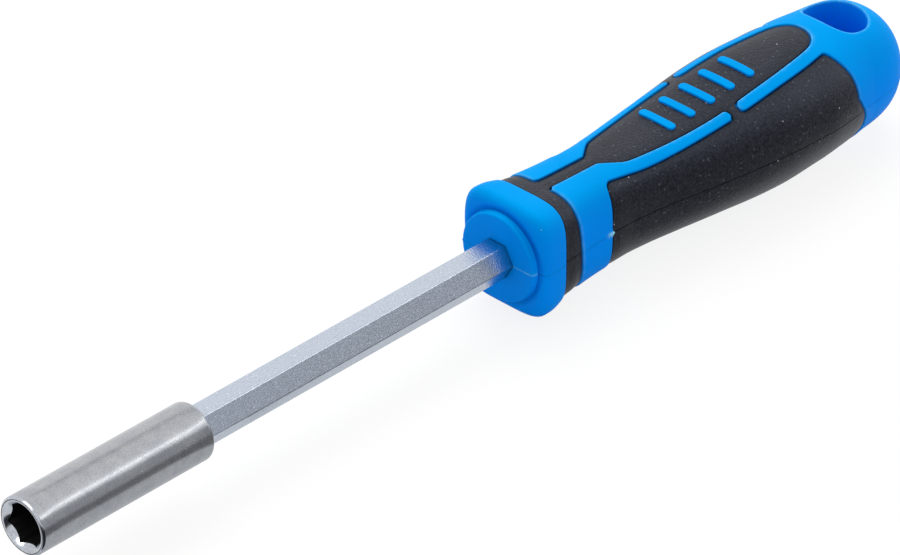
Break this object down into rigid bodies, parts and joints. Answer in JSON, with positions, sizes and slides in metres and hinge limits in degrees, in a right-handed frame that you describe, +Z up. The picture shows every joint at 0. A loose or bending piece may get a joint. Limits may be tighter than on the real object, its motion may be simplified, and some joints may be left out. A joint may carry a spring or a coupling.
{
  "type": "bit driver handle",
  "caption": "Screwdriver-style bit driver: moulded two-colour grip with a hanging hole, a fixed hex blade and a round magnetic sleeve with a hex socket for insert bits.",
  "frame": {"origin": "middle of the tool's length, under its axis, at the level of its lowest point as it lies on a table", "axes": "+X along the tool from the bit socket to the butt, +Z up through the grip's top panel and along the hanging hole, +Y to the left seen from the butt"},
  "size_m": [0.1906, 0.0242, 0.0227],
  "materials": {
    "bit_sleeve": "turned stainless steel with fine lathe rings",
    "bit_magnet": "nickel-plated magnet",
    "hex_shaft": "satin plated drawn hex bar",
    "inner_core": "satin blue polypropylene",
    "handle_shell": "satin blue polypropylene",
    "soft_grip": "fine-grained black soft plastic"
  },
  "bodies": {
    "root": {"bit_sleeve": "bit_sleeve", "bit_magnet": "bit_magnet", "hex_shaft": "hex_shaft", "inner_core": "inner_core", "handle_shell": "handle_shell", "soft_grip": "soft_grip"}
  },
  "joints": []
}
